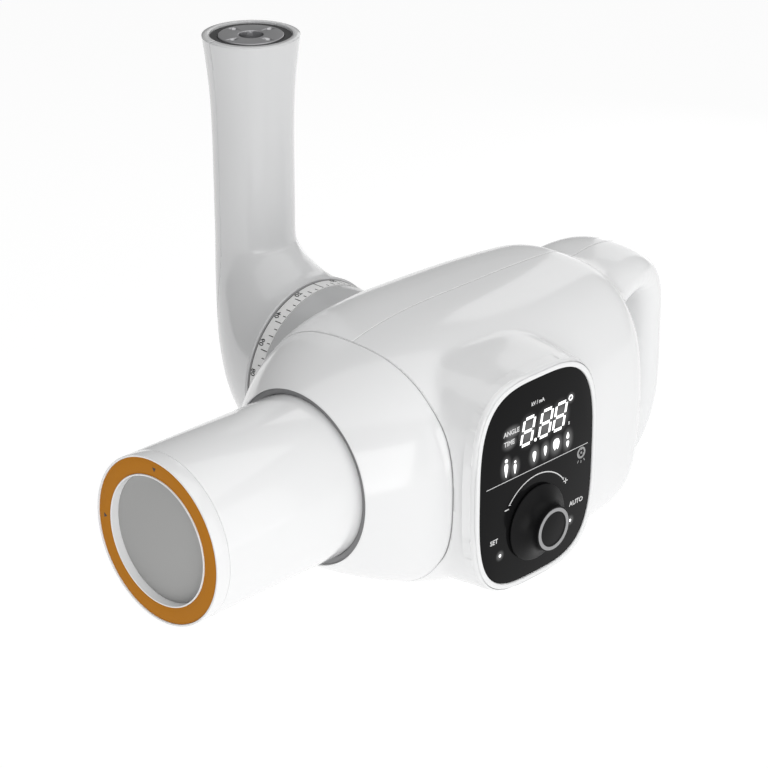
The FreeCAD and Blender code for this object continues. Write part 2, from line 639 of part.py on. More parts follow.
# ---------------------------------------------------------------- control panel
def make_panel():
    """Bezel, glass, boards and the push encoder behind them."""
    face = value("panel_face")
    rim = value("bezel_width")
    low = face - value("pocket_depth") + 0.2
    bezel = panel_plate(low, face + 0.4, -0.25).cut(panel_plate(low - 1, face + 2, -rim))
    keep(shaped("bezel", bezel), "panel_bezel")
    axis = Vector(0, value("knob_y"), value("knob_z"))
    glass_back = face - 0.2 - value("glass_thick")
    glass = panel_plate(glass_back, face - 0.2, -rim - 0.05)
    stem_hole = Part.makeCylinder(value("stem_radius") + 0.35, 40, axis + Vector(50, 0, 0),
                                  Vector(1, 0, 0))
    keep(shaped("glass", glass.cut(stem_hole)), "panel_glass")
    board_back = face - 10
    board_front = board_back + value("board_thick")
    board = panel_plate(board_back, board_front, -value("ledge") - 2).cut(stem_hole)
    keep(shaped("display_board_plate", board), "display_board")
    digits = block("digits", ("5.4", "34", "17"),
                   ("sheet.panel_face - 5.6", "sheet.panel_centre + 4.5", "25"))
    keep(digits, "digit_display")
    keep(block("control", ("sheet.board_thick", "62", "70"),
               ("sheet.board_rear", "sheet.panel_centre", "0")), "control_board")
    spacers = []
    base = value("board_rear") + 0.5 * value("board_thick")
    for side in (-1, 1):
        for level in (-1, 1):
            foot = Vector(base, value("panel_centre") + 24 * side, 28 * level)
            spacers.append(Part.makeCylinder(3, board_back - base, foot, Vector(1, 0, 0)))
    keep(shaped("spacers", Part.makeCompound(spacers)), "board_spacers")
    case = block("encoder", ("5.6", "13", "13"),
                 ("sheet.panel_face - 5.55", "sheet.knob_y", "sheet.knob_z"))
    way = rod("encoder_way", "sheet.stem_radius + sheet.fit", "30",
              at("sheet.panel_face - 20", "sheet.knob_y", "sheet.knob_z"), "right")
    keep(cut("encoder", case, way), "encoder_case")


def make_knob():
    """The knob and its metal ring, which turn, and the plunger that they press; heights from the glass."""
    base = at("sheet.panel_face - 0.2", "sheet.knob_y", "sheet.knob_z")
    tube("encoder_plunger", "sheet.stem_radius", "0", "-7.4", "sheet.knob_rise - 3", base, "right")
    groove = "sheet.knob_rise - 1"
    turned("knob", [
        ("sheet.stem_radius + sheet.fit", "sheet.knob_gap"), ("sheet.knob_base", "sheet.knob_gap"),
        ("sheet.knob_base", "sheet.knob_gap + 0.7"), ("15.6", "2.9"), ("13.2", "5"),
        ("11.8", "7.6"), ("sheet.knob_top", "sheet.knob_rise"),
        ("sheet.knobring_outer", "sheet.knob_rise"), ("sheet.knobring_outer", groove),
        ("sheet.knobring_inner", groove), ("sheet.knobring_inner", "sheet.knob_rise - 0.3"),
        ("0", "sheet.knob_rise - 0.3"), ("0", "sheet.knob_rise - 2.9"),
        ("sheet.stem_radius + sheet.fit", "sheet.knob_rise - 2.9"),
    ], base, "right")
    tube("knob_ring", "sheet.knobring_outer - 0.03", "sheet.knobring_inner + 0.03", groove,
         "sheet.knob_rise + 0.15", base, "right")


make_shells()
make_cone()
make_tank()
make_tilt_joint()
make_yoke()
make_swivel()
make_panel()
make_knob()
document.recompute()

for thing in document.Objects:
    if "Invalid" in thing.State or "Error" in thing.State:
        raise ValueError(f"{thing.Label} failed: {thing.State}")
os.makedirs("parts", exist_ok=True)
for name in os.listdir("parts"):
    os.remove(os.path.join("parts", name))
for thing in parts:
    shape = thing.Shape
    if shape.isNull() or not shape.isValid() or not shape.Solids:
        raise ValueError(f"{thing.Label} has no valid solid: {len(shape.Solids)} {shape.Volume}")
    shape.exportStep(os.path.join("parts", thing.Label + ".step"))
    print(f"{thing.Label:20s} {len(shape.Solids)} solids {shape.Volume / 1000:9.2f} cm3")
print(len(parts), "sub-parts")
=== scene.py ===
import json
import math

import bmesh
import bpy
from mathutils import Matrix, Vector
from mathutils.bvhtree import BVHTree


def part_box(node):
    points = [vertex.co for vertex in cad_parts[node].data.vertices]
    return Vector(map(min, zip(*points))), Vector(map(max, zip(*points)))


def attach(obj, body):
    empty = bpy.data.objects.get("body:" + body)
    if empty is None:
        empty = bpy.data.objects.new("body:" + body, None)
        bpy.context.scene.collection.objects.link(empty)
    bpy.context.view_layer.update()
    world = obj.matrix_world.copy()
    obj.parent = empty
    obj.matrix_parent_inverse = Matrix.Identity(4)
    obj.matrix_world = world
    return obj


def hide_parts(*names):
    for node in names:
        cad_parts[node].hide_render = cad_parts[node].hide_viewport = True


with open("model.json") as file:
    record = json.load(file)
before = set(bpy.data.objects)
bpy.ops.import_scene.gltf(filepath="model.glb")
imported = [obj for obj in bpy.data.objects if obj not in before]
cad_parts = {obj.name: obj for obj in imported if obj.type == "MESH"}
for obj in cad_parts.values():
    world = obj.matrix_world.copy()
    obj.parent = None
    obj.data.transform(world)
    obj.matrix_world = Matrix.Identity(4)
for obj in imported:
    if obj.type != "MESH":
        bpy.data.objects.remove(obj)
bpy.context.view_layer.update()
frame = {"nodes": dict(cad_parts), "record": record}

# The camera stands in front of the beam cone on the panel's side, a little above the head.
# A long lens keeps the cone's near and far ends almost the same size.
mm = 0.001
view_turn = math.radians(44.49)
view_drop = math.radians(24.78)
camera_data = bpy.data.cameras.new("studio_camera")
camera_data.lens = 121.88
camera_data.sensor_width = 36.0
camera_data.clip_end = 20.0
camera = bpy.data.objects.new("studio_camera", camera_data)
camera.location = (0.8903, -0.8150, 0.3712)
camera.rotation_euler = (math.pi / 2 - view_drop, 0.0, view_turn)
scene = bpy.context.scene
scene.collection.objects.link(camera)
scene.camera = camera

# The studio: a pale floor well below the hanging head, surroundings that fade a little towards the
# arm's side, and soft boxes overhead, in front and beside. The floor's own glow keeps it white.
scene.view_settings.view_transform = "Standard"
floor_reach = 6.0
floor_height = -0.62
floor_mesh = bmesh.new()
bmesh.ops.create_grid(floor_mesh, x_segments=8, y_segments=8, size=floor_reach)
bmesh.ops.translate(floor_mesh, verts=floor_mesh.verts, vec=(0.0, 0.0, floor_height))
floor_data = bpy.data.meshes.new("studio_floor")
floor_mesh.to_mesh(floor_data)
floor_mesh.free()
floor = bpy.data.objects.new("studio_floor", floor_data)
scene.collection.objects.link(floor)
floor_paint = bpy.data.materials.new("floor_paint")
floor_paint.use_nodes = True
floor_shader = floor_paint.node_tree.nodes["Principled BSDF"]
floor_shader.inputs["Base Color"].default_value = (0.25, 0.25, 0.25, 1.0)
floor_shader.inputs["Roughness"].default_value = 0.9
floor_shader.inputs["Specular IOR Level"].default_value = 0.1
floor_shader.inputs["Emission Color"].default_value = (1.0, 1.0, 1.0, 1.0)
floor_shader.inputs["Emission Strength"].default_value = 0.84
floor_data.materials.append(floor_paint)

sky_heading = math.radians(-35)
sky_dim = 0.16
sky_bright = 0.64
world = bpy.data.worlds.new("studio_world")
world.use_nodes = True
sky = world.node_tree.nodes
sky["Background"].inputs["Color"].default_value = (1.0, 1.0, 1.0, 1.0)
sky_place = sky.new("ShaderNodeTexCoord")
sky_axes = sky.new("ShaderNodeSeparateXYZ")
sky_fade = sky.new("ShaderNodeMapRange")
sky_fade.inputs["From Min"].default_value = -1.0
sky_fade.inputs["To Min"].default_value = sky_dim
sky_fade.inputs["To Max"].default_value = sky_bright
sky_turn = sky.new("ShaderNodeMapping")
sky_turn.inputs["Rotation"].default_value = (0.0, 0.0, sky_heading)
sky_links = world.node_tree.links
sky_links.new(sky_place.outputs["Generated"], sky_turn.inputs["Vector"])
sky_links.new(sky_turn.outputs["Vector"], sky_axes.inputs["Vector"])
sky_links.new(sky_axes.outputs["X"], sky_fade.inputs["Value"])
sky_links.new(sky_fade.outputs["Result"], sky["Background"].inputs["Strength"])
scene.world = world
head_spot = (0.12, -0.02, -0.16)


def soft_box(name, spot, wide, tall, watts):
    """One rectangular studio light that points at the head."""
    light = bpy.data.lights.new(name, "AREA")
    light.shape = "RECTANGLE"
    light.size = wide
    light.size_y = tall
    light.energy = watts
    lamp = bpy.data.objects.new(name, light)
    lamp.location = spot
    lamp.rotation_euler = (Vector(head_spot) - Vector(spot)).to_track_quat("-Z", "Y").to_euler()
    scene.collection.objects.link(lamp)


soft_box("overhead_box", (0.3, -0.2, 1.6), 3.0, 2.4, 18.0)
soft_box("panel_fill", (1.7, 0.4, 0.2), 1.2, 1.4, 3.0)
soft_box("front_box", (1.6, -1.1, 0.0), 1.3, 1.3, 10.0)
soft_box("rear_strip", (-0.6, 1.4, 0.3), 0.5, 1.6, 2.0)

# The row frame's places that everything else hangs on: the beam's line, from the cone, and the
# tilt axis, which crosses it level with the middle of the head.
cone_low, cone_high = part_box("cone_tube")
beam_x = 0.5 * (cone_low.x + cone_high.x)
beam_z = 0.5 * (cone_low.z + cone_high.z)


def at(x, y, z):
    """A point in the row frame from millimetres off the beam plane and the tilt axis."""
    return Vector((beam_x + x * mm, y * mm, beam_z + z * mm))


# The swivel spindle: a turned steel spindle with a flange that the wall arm bolts to, drilled
# with four holes round its cable bore. It shows in the open top of the yoke.
flange_radius = 16.0
flange_thick = 8.0
spindle_radius = 10.0
spindle_bore = 6.0
spindle_length = 95.0
bolt_circle = 24.0
bolt_radius = 1.65
turnings = {
    "up": Matrix.Identity(4),
    "forward": Matrix.Rotation(math.pi / 2, 4, "X"),
    "right": Matrix.Rotation(math.pi / 2, 4, "Y"),
    "left": Matrix.Rotation(-math.pi / 2, 4, "Y"),
}


def turned(corners, base, turn, edge=0.0, steps=160):
    """A bmesh turned on a lathe from a closed half section of (radius, height) corners in mm."""
    piece = bmesh.new()
    rim = [piece.verts.new((radius * mm, 0.0, height * mm)) for radius, height in corners]
    for index, vert in enumerate(rim):
        piece.edges.new((vert, rim[(index + 1) % len(rim)]))
    if edge:
        soft = [vert for vert in rim if vert.co.x > 1e-6]
        bmesh.ops.bevel(piece, geom=soft, offset=edge * mm, offset_type="OFFSET", segments=3,
                        profile=0.5, affect="VERTICES", clamp_overlap=True, material=-1)
    line = piece.verts[:] + piece.edges[:]
    bmesh.ops.spin(piece, geom=line, cent=(0, 0, 0), axis=(0, 0, 1), angle=2 * math.pi,
                   steps=steps, use_merge=True)
    bmesh.ops.remove_doubles(piece, verts=piece.verts, dist=1e-7)
    bmesh.ops.dissolve_degenerate(piece, edges=piece.edges, dist=1e-7)
    bmesh.ops.recalc_face_normals(piece, faces=piece.faces)
    bmesh.ops.transform(piece, matrix=Matrix.Translation(base) @ turnings[turn], verts=piece.verts)
    return piece


def finished(piece, name, crease=35.0):
    """Turns a bmesh into an object at the origin, smooth except at edges sharper than the crease."""
    for face in piece.faces:
        face.smooth = True
    for edge in piece.edges:
        if edge.is_manifold and edge.calc_face_angle(0.0) > math.radians(crease):
            edge.smooth = False
    data = bpy.data.meshes.new(name)
    piece.to_mesh(data)
    piece.free()
    made = bpy.data.objects.new(name, data)
    scene.collection.objects.link(made)
    return made


def settle(piece):
    """Applies the piece's modifiers to its mesh."""
    bpy.context.view_layer.update()
    seen = piece.evaluated_get(bpy.context.evaluated_depsgraph_get())
    data = bpy.data.meshes.new_from_object(seen)
    piece.modifiers.clear()
    old = piece.data
    name = old.name
    piece.data = data
    bpy.data.meshes.remove(old)
    data.name = name


def cut_away(piece, tool):
    """Takes the tool out of the piece and throws the tool away."""
    taken = piece.modifiers.new("cut", "BOOLEAN")
    taken.operation = "DIFFERENCE"
    taken.solver = "EXACT"
    taken.object = tool
    settle(piece)
    bpy.data.objects.remove(tool)


def link_noise(nodes, links, scale, detail):
    """A noise pattern that stays fixed to the piece."""
    place = nodes.new("ShaderNodeTexCoord")
    noise = nodes.new("ShaderNodeTexNoise")
    noise.inputs["Scale"].default_value = scale
    noise.inputs["Detail"].default_value = detail
    links.new(place.outputs["Object"], noise.inputs["Vector"])
    return noise.outputs["Fac"]


def finish_coat(name, tone, rough, metal=0.0, coat=0.0, specular=0.5, uneven=0.03, shine=0.2,
                patch=18.0, grain=900.0, relief=0.02):
    """A finish whose colour and shine wander a little and whose surface has a fine grain."""
    paint = bpy.data.materials.new(name)
    paint.use_nodes = True
    nodes, links = paint.node_tree.nodes, paint.node_tree.links
    shader = nodes["Principled BSDF"]
    shader.inputs["Metallic"].default_value = metal
    shader.inputs["Coat Weight"].default_value = coat
    shader.inputs["Coat Roughness"].default_value = 0.06
    shader.inputs["Specular IOR Level"].default_value = specular
    wander = link_noise(nodes, links, patch, 3.0)
    mixed = nodes.new("ShaderNodeMix")
    mixed.data_type = "RGBA"
    mixed.inputs["A"].default_value = (*[channel * (1 - uneven) for channel in tone], 1.0)
    mixed.inputs["B"].default_value = (*[min(channel * (1 + uneven), 1.0) for channel in tone], 1.0)
    links.new(wander, mixed.inputs["Factor"])
    links.new(mixed.outputs["Result"], shader.inputs["Base Color"])
    dull = nodes.new("ShaderNodeMapRange")
    dull.inputs["To Min"].default_value = rough * (1 - shine)
    dull.inputs["To Max"].default_value = rough * (1 + shine)
    links.new(wander, dull.inputs["Value"])
    links.new(dull.outputs["Result"], shader.inputs["Roughness"])
    bump = nodes.new("ShaderNodeBump")
    bump.inputs["Strength"].default_value = relief
    bump.inputs["Distance"].default_value = 0.0002
    links.new(link_noise(nodes, links, grain, 2.0), bump.inputs["Height"])
    links.new(bump.outputs["Normal"], shader.inputs["Normal"])
    return paint


def dressed(piece, paint, body, slot, *nodes):
    """Gives a new piece its finish and its body, and hides the nodes that it stands for. The slot
    argument is not used.
    """
    piece.data.materials.clear()
    piece.data.materials.append(paint)
    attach(piece, body)
    if nodes:
        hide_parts(*nodes)


turned_steel = finish_coat("turned_steel", (0.46, 0.46, 0.47), 0.32, metal=1.0, relief=0.05)
spindle = finished(turned([
    (spindle_bore, 0), (flange_radius, 0), (flange_radius, -flange_thick),
    (spindle_radius, -flange_thick), (spindle_radius, -spindle_length),
    (spindle_bore, -spindle_length),
], Vector((0, 0, 0)), "up", edge=0.4, steps=96), "spindle")
for quarter in range(4):
    spot = Matrix.Rotation(quarter * math.pi / 2, 4, "Z") @ Vector((0.5 * bolt_circle * mm, 0, 0))
    drill = turned([(0, 1), (bolt_radius, 1), (bolt_radius, -flange_thick - 1),
                    (0, -flange_thick - 1)], spot, "up", steps=32)
    cut_away(spindle, finished(drill, "drill"))
dressed(spindle, turned_steel, "arm_socket", "steel", "swivel_spindle")

# The yoke: two gloss mouldings in the head's white, painted greyer as painted shade on the less lit
# arm.
# The inner one carries the bearings and bends under into the elbow's lip; the cover closes the far
# side along a seam.
arm_low, arm_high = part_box("yoke_arm")
lip_x = arm_high.x
bend_height = 59.5
bend_z = beam_z + bend_height * mm
yoke_wall = 3.5
cover_seam = -4.0
seam_gap = 0.3
stem_half = 20.0
lip_outer = 45.5
# turn of the section's plane in degrees, then its near side, far side and half width, from the
# pivot that the elbow bends round
elbow_rings = [
    (90, bend_height - lip_outer, bend_height + lip_outer, lip_outer), (78, 13.9, 99.8, 41),
    (66, 13.8, 91.8, 36), (52, 13.7, 80.7, 30.4), (38, 14.3, 71.0, 25.8), (24, 16, 65.0, 22.1),
    (11, 18.4, 61.3, 20.4), (0, 19.9, 59.9, stem_half),
]
# height and radius up the stem
stem_rings = [(-88, stem_half), (-72, stem_half), (-55, 20.05), (-38, 20.35), (-24, 21.1),
              (-11, 22.4), (0, 23.8)]


def between(stations, run):
    """Smooth in-between values of a list of stations, run from 0 to 1."""
    spot = run * (len(stations) - 1)
    index = min(int(spot), len(stations) - 2)
    part = spot - index
    before = stations[max(index - 1, 0)]
    start, end = stations[index], stations[index + 1]
    after = stations[min(index + 2, len(stations) - 1)]
    return [
        0.5 * (2 * b + (c - a) * part + (2 * a - 5 * b + 4 * c - d) * part ** 2
               + (3 * b - a - 3 * c + d) * part ** 3)
        for a, b, c, d in zip(before, start, end, after)
    ]


def wrapped(point, around, steps, closed=True):
    """A grid rolled into a tube: point(turn, run), both from 0 to 1, with its ends capped or open."""
    skin = bmesh.new()
    bmesh.ops.create_grid(skin, x_segments=around, y_segments=steps, size=0.5)
    for vert in skin.verts:
        turn = round((vert.co.x + 0.5) * around) % around / around
        run = min(max(vert.co.y + 0.5, 0.0), 1.0)
        vert.co = point(turn, run)
    bmesh.ops.remove_doubles(skin, verts=skin.verts, dist=1e-7)
    if closed:
        rims = [edge for edge in skin.edges if edge.is_boundary]
        bmesh.ops.holes_fill(skin, edges=rims, sides=0)
    bmesh.ops.recalc_face_normals(skin, faces=skin.faces)
    return skin


def yoke_ring(turn):
    """Where one line of the yoke's skin crosses each of its rings."""
    angle = 2 * math.pi * turn
    line = []
    for tilt, near, far, across in elbow_rings:
        lean = math.radians(tilt)
        reach = 0.5 * (near + far) + 0.5 * (far - near) * math.cos(angle)
        line.append((lip_x - reach * mm * math.cos(lean), across * mm * math.sin(angle),
                     bend_z - reach * mm * math.sin(lean)))
    for height, radius in stem_rings:
        line.append((-radius * mm * math.cos(angle), radius * mm * math.sin(angle), height * mm))
    return line


def yoke_point(turn, run):
    """A point on the yoke's skin from the elbow's lip to the top of the stem."""
    return Vector(between(yoke_ring(turn), run))


def sliced(skin, spot, side):
    """Keeps what lies on the side that the arrow points to."""
    bmesh.ops.bisect_plane(skin, geom=skin.verts[:] + skin.edges[:] + skin.faces[:], dist=1e-7,
                           plane_co=spot, plane_no=side, clear_inner=True)


def thickened(piece, thick):
    """Gives an open skin a wall on its inner side."""
    wall = piece.modifiers.new("wall", "SOLIDIFY")
    wall.thickness = thick * mm
    wall.offset = -1.0
    wall.use_quality_normals = True
    settle(piece)


# The arm's white is painted darker than the head's: painted shade for the less lit arm.
arm_shaded_white = finish_coat("arm_shaded_white", (0.65, 0.653, 0.657), 0.2, coat=0.35, uneven=0.012)
for side, name, node in ((1, "yoke_shell", "yoke_arm"), (-1, "yoke_lid", "yoke_cover")):
    skin = wrapped(yoke_point, 144, 168, closed=False)
    sliced(skin, ((cover_seam + 0.5 * side * seam_gap) * mm, 0, 0), (side, 0, 0))
    moulding = finished(skin, name)
    thickened(moulding, yoke_wall)
    dressed(moulding, arm_shaded_white, "yoke", "arm_white", node)

# The tilt joint's outside: a grey rubber seal under the elbow's lip, the head's white neck collar
# painted grey as painted shade in its hollow, and a white printed band that turns with the head under
# an index mark on the elbow.
collar_low, collar_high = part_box("neck_collar")
band_low, band_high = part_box("scale_band")
seal_low, seal_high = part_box("lip_gasket")
neck_radius = 0.5 * (collar_high.y - collar_low.y) / mm
neck_start = (beam_x - collar_high.x) / mm
band_radius = 0.5 * (band_high.y - band_low.y) / mm
band_start = (beam_x - band_high.x) / mm
band_end = (beam_x - band_low.x) / mm
seal_outer = 0.5 * (seal_high.y - seal_low.y) / mm
seal_start = (beam_x - seal_high.x) / mm
seal_end = (beam_x - seal_low.x) / mm
collar_bore = 38.0
axis = at(0, 0, 0)
shell_gloss = finish_coat("shell_gloss", (0.80, 0.803, 0.806), 0.18, coat=0.45, uneven=0.01)
band_satin = finish_coat("band_satin", (0.78, 0.78, 0.775), 0.42, uneven=0.015)
# The seal's own grey, also used on the nose tongue as painted shade in the seam's gap.
seal_grey_and_seam_shade = finish_coat("seal_grey_and_seam_shade", (0.30, 0.30, 0.303), 0.55, uneven=0.1, relief=0.1)
# The collar's grey is painted shade for its hollow between the band and the head.
neck_shaded_white = finish_coat("neck_shaded_white", (0.50, 0.503, 0.507), 0.22, coat=0.3, uneven=0.012)
scale_ink = finish_coat("scale_ink", (0.03, 0.03, 0.034), 0.5, uneven=0.2)

collar = finished(turned([
    (collar_bore, neck_start), (neck_radius, neck_start), (neck_radius, band_start),
    (collar_bore, band_start),
], axis, "left", edge=0.3), "collar")
dressed(collar, neck_shaded_white, "head", "arm_white", "neck_collar")
band = finished(turned([
    (collar_bore + 1, band_start + 0.05), (band_radius, band_start + 0.05),
    (band_radius, band_end), (collar_bore + 1, band_end),
], axis, "left", edge=0.25), "scale_ring")
dressed(band, band_satin, "head", "scale_print", "scale_band")
seal = finished(turned([
    (collar_bore + 1, seal_start), (seal_outer, seal_start), (seal_outer, seal_end),
    (collar_bore + 1, seal_end),
], axis, "left", edge=0.2), "lip_seal")
dressed(seal, seal_grey_and_seam_shade, "yoke", "dark_ring", "lip_gasket")

ink_rise = 0.04
tick_lengths = {20: 4.2, 10: 3.0, 5: 1.9}
tick_wide = 0.45
numeral_size = 3.8
numeral_aside = 3.4
numeral_rise = 5.3
tick_root = 0.2


def on_band(piece, radius):
    """Rolls a flat drawing round the neck: x becomes the way round, y the way to the elbow."""
    for vert in piece.verts:
        round_way = vert.co.x / radius
        out = radius + vert.co.z
        vert.co = at(-vert.co.y, -out * math.sin(round_way), out * math.cos(round_way))


def drawn_bar(piece, low_x, high_x, low_y, high_y, low_z, high_z):
    """Adds a thin printed bar to a drawing, in millimetres."""
    made = bmesh.ops.create_cube(piece, size=1.0)["verts"]
    bmesh.ops.scale(piece, verts=made, vec=(high_x - low_x, high_y - low_y, high_z - low_z))
    bmesh.ops.translate(piece, verts=made, vec=(0.5 * (low_x + high_x), 0.5 * (low_y + high_y),
                                                0.5 * (low_z + high_z)))


def lettering(text, size, x, y, turn=0.0, bold=0.0, deep=0.08):
    """Raised print as a bmesh lying in the XY plane, centred on (x, y), in millimetres."""
    curve = bpy.data.curves.new("print", "FONT")
    curve.body = text
    curve.size = size
    curve.align_x = "CENTER"
    curve.align_y = "CENTER"
    curve.extrude = 0.5 * deep
    curve.offset = bold
    curve.resolution_u = 4
    holder = bpy.data.objects.new("print", curve)
    scene.collection.objects.link(holder)
    bpy.context.view_layer.update()
    flat = bpy.data.meshes.new_from_object(
        holder.evaluated_get(bpy.context.evaluated_depsgraph_get()))
    piece = bmesh.new()
    piece.from_mesh(flat)
    bmesh.ops.remove_doubles(piece, verts=piece.verts, dist=1e-4)
    bmesh.ops.rotate(piece, verts=piece.verts, cent=(0, 0, 0), matrix=Matrix.Rotation(turn, 3, "Z"))
    bmesh.ops.translate(piece, verts=piece.verts, vec=(x, y, 0))
    bpy.data.objects.remove(holder)
    bpy.data.curves.remove(curve)
    bpy.data.meshes.remove(flat)
    return piece


def merged(pieces):
    """One bmesh that holds them all."""
    whole = bmesh.new()
    for piece in pieces:
        data = bpy.data.meshes.new("part")
        piece.to_mesh(data)
        piece.free()
        whole.from_mesh(data)
        bpy.data.meshes.remove(data)
    return whole


ticks = bmesh.new()
for degree in range(-175, 181, 5):
    long = next(length for step, length in tick_lengths.items() if degree % step == 0)
    if degree == 0:
        long = band_end - band_start - 0.3
    middle = math.radians(degree) * band_radius
    drawn_bar(ticks, middle - 0.5 * tick_wide, middle + 0.5 * tick_wide, band_start + tick_root,
              band_start + tick_root + long, -ink_rise, ink_rise)
numerals = []
for degree in range(20, 181, 20):
    for side in (-1, 1):
        if degree == 180 and side > 0:
            continue
        spot = side * math.radians(degree) * band_radius
        numerals.append(lettering(str(degree), numeral_size, spot - side * numeral_aside,
                                  band_start + numeral_rise, deep=2 * ink_rise, bold=0.08))
marks = merged([ticks] + numerals)
on_band(marks, band_radius)
bmesh.ops.recalc_face_normals(marks, faces=marks.faces)
printed_scale = finished(marks, "scale_marks")
dressed(printed_scale, scale_ink, "head", "dark_ring")

# The index that the scale is read against is a small dark wedge let into the elbow's lip. It is
# cut from black film and lies almost flush.
wedge_reach = 1.5
wedge_thick = 0.12
wedge_inset = 2.4
index_mark = bmesh.new()
bmesh.ops.create_cone(index_mark, cap_ends=True, segments=3, radius1=wedge_reach * mm,
                      radius2=wedge_reach * mm, depth=wedge_thick * mm)
bmesh.ops.rotate(index_mark, verts=index_mark.verts, cent=(0, 0, 0),
                 matrix=Matrix.Rotation(math.pi / 2, 3, "Z"))
bmesh.ops.translate(index_mark, verts=index_mark.verts,
                    vec=(lip_x - wedge_inset * mm, 0.0, beam_z + (lip_outer + 0.02) * mm))
pointer = finished(index_mark, "index_wedge")
dressed(pointer, scale_ink, "yoke", "dark_ring")

# The head's shells, moulded in gloss white: two body halves with half the grab loop on each and
# the panel's boss on the right one, and a nose that meets them at a fine seam. The halves come
# from one skin, relaxed where loop and boss grow out of the body.
lip_front = 90.4
lip_radius = 42.8
nose_seam = 56.0
rear_face = 101.0
rear_round = 22.0
# how much wider, higher and deeper than the lip the body grows, and how soon behind the lip
width_gain, width_run = 23.7, 80.4
top_gain, top_run = 19.8, 92
bottom_gain, bottom_run = 28.2, 170
corner_run = 150
rear_taper = 9.5
top_fall = 1.6
handle_back = 143.5
shell_wall = 2.5
bezel_low, bezel_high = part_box("panel_bezel")
panel_y = 0.5 * (bezel_low.y + bezel_high.y) / mm
panel_half_y = 41.25
panel_half_z = 52.25
panel_power = 3.4
panel_face = 76.0
bezel_front = (bezel_high.x - beam_x) / mm


def ease(fraction, power):
    """Rises from 0 to 1 and levels off."""
    return 1.0 - (1.0 - min(max(fraction, 0.0), 1.0)) ** power


def oval(turn, half_width, top, bottom, top_power, bottom_power):
    """A point (across, up) on an oval with corners fuller than an ellipse's."""
    across, up = math.cos(2 * math.pi * turn), math.sin(2 * math.pi * turn)
    power = top_power if up > 0 else bottom_power
    height = top if up > 0 else bottom
    return (
        half_width * math.copysign(abs(across) ** (2 / power), across),
        height * math.copysign(abs(up) ** (2 / power), up),
    )


def body_point(turn, y):
    """A point on the body's outline at one station along the beam."""
    front = y + lip_front
    narrowed = rear_taper * (max(y + 10, 0) / 89) ** 2
    lowered = top_fall * (max(y - 40, 0) / 50) ** 2
    half = lip_radius + width_gain * ease(front / width_run, 3.0) - narrowed
    top = lip_radius + top_gain * ease(front / top_run, 2.5) - lowered
    bottom = lip_radius + bottom_gain * ease(front / bottom_run, 3.8)
    past = max(y - (rear_face - rear_round), 0)
    pulled = rear_round - math.sqrt(max(rear_round ** 2 - past ** 2, 0))
    top_power = 2 + 0.6 * ease(front / top_run, 3)
    bottom_power = 2 + 1.2 * ease(front / corner_run, 3)
    x, z = oval(turn, half - pulled, top - pulled, bottom - pulled, top_power, bottom_power)
    return at(x, y, z)


def body_run(turn, run):
    """The body from a little ahead of the nose seam to its rounded back."""
    straight = 0.75
    front = -nose_seam - 12
    if run < straight:
        return body_point(turn, front + (rear_face - rear_round - front) * run / straight)
    bend = 0.5 * math.pi * (run - straight) / (1 - straight)
    return body_point(turn, rear_face - rear_round * (1 - math.sin(bend)))


# y, z, heading in degrees (0 to the rear, -90 down), half width, half thickness
loop_rings = [
    (handle_back - 65, 36, 0, 34, 12), (handle_back - 51, 40, -3, 33, 13),
    (handle_back - 39, 42.5, -7, 31.5, 13.5), (handle_back - 23.5, 43.5, -20, 28, 12.2),
    (handle_back - 11, 38, -42, 24, 11.4), (handle_back - 3.5, 26, -68, 21, 11.5),
    (handle_back - 1.3, 8, -86, 19, 11.8), (handle_back - 1.3, -22, -94, 19, 11.8),
    (handle_back - 4.8, -38, -112, 19, 11.8), (handle_back - 13.5, -51, -138, 19.5, 11.8),
    (handle_back - 27.5, -58, -162, 20.5, 11.8), (handle_back - 52, -59, -178, 22, 11.8),
]


def loop_run(turn, run):
    """The grab loop, from its wide root on top round to its foot."""
    y, z, heading, half_width, half_thick = between(loop_rings, run)
    across, up = oval(turn, half_width, half_thick, half_thick, 2.3, 2.3)
    lean = math.radians(heading)
    return at(across, y - up * math.sin(lean), z + up * math.cos(lean))


def outline(turn, offset):
    """A point (y, z) on the panel's outline, grown by the offset."""
    y, z = oval(turn, panel_half_y + offset, panel_half_z + offset, panel_half_z + offset,
                panel_power, panel_power)
    return panel_y + y, z


# x off the beam plane, and how far the boss has flared there
boss_rings = [(34, 4), (46, 3.4), (56, 2.8), (64, 2.0), (70, 1.3), (74, 0.8), (76.6, 0.4)]


def boss_run(turn, run):
    """The panel's boss, flaring back into the body."""
    x, offset = between(boss_rings, run)
    y, z = outline(turn, offset)
    return at(x, max(y, -nose_seam + 1.1), z)


def panel_plate(low, high, offset):
    """A plate of the panel's outline between two planes."""
    return wrapped(lambda turn, run: at(low + (high - low) * run, *outline(turn, offset)), 192, 1)


def disc(radius, start, end, axis_y, axis_z, turn, around=128):
    """A plain cylinder used as a cutter, its heights from the beam plane or the tilt axis."""
    return turned([(0, start), (radius, start), (radius, end), (0, end)], at(0, axis_y, axis_z),
                  turn, steps=around)


skin_grain = 1.35
skins = merged([wrapped(body_run, 180, 130), wrapped(loop_run, 72, 120), wrapped(boss_run, 180, 36)])
hull = finished(skins, "hull")
remesh = hull.modifiers.new("one_skin", "REMESH")
remesh.mode = "VOXEL"
remesh.voxel_size = skin_grain * mm
remesh.use_smooth_shade = True
settle(hull)
